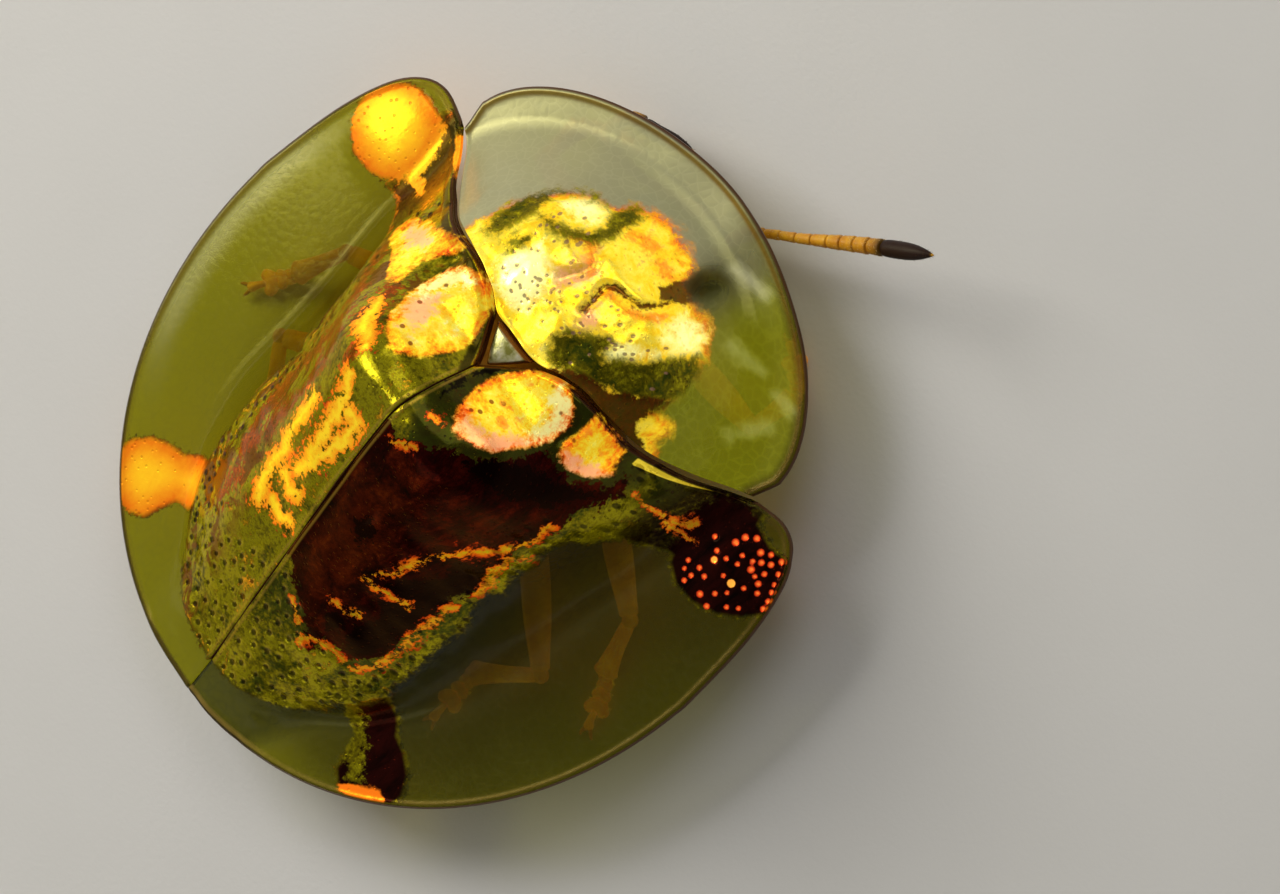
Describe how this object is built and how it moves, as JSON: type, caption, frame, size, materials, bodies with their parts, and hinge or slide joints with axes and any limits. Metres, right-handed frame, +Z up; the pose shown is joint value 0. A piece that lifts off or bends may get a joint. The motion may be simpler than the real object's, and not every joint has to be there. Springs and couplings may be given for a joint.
{
  "type": "tortoise beetle",
  "caption": "Life-size still model of a golden tortoise beetle standing on its feet, with a domed metallic shell and wide thin see-through margins.",
  "frame": {"origin": "on the floor, under the middle of the outline's box", "axes": "+Z up, the head points to -Y, the beetle's left side is +X"},
  "size_m": [0.0122, 0.0156, 0.0064],
  "materials": {
    "elytra": "glossy, metallic gold disc with clear yellowish margins",
    "pronotum": "glossy, metallic gold disc with a clear rim",
    "scutellum": "pale, satin",
    "underside": "amber brown, satin",
    "legs": "amber yellow, satin",
    "head": "amber yellow, satin",
    "eyes": "black, glossy",
    "antennae": "amber yellow with dark ends, satin"
  },
  "bodies": {
    "root": {"elytron_left": "elytra", "elytron_right": "elytra", "pronotum": "pronotum", "scutellum": "scutellum", "prothorax": "underside", "thorax": "underside", "abdomen": "underside", "head": "head", "eye_left": "eyes", "eye_right": "eyes", "mouthparts": "head", "antenna_left": "antennae", "antenna_right": "antennae", "femur_front_left": "legs", "tibia_front_left": "legs", "tarsus_front_left": "legs", "femur_middle_left": "legs", "tibia_middle_left": "legs", "tarsus_middle_left": "legs", "femur_hind_left": "legs", "tibia_hind_left": "legs", "tarsus_hind_left": "legs", "femur_front_right": "legs", "tibia_front_right": "legs", "tarsus_front_right": "legs", "femur_middle_right": "legs", "tibia_middle_right": "legs", "tarsus_middle_right": "legs", "femur_hind_right": "legs", "tibia_hind_right": "legs", "tarsus_hind_right": "legs"}
  },
  "joints": []
}
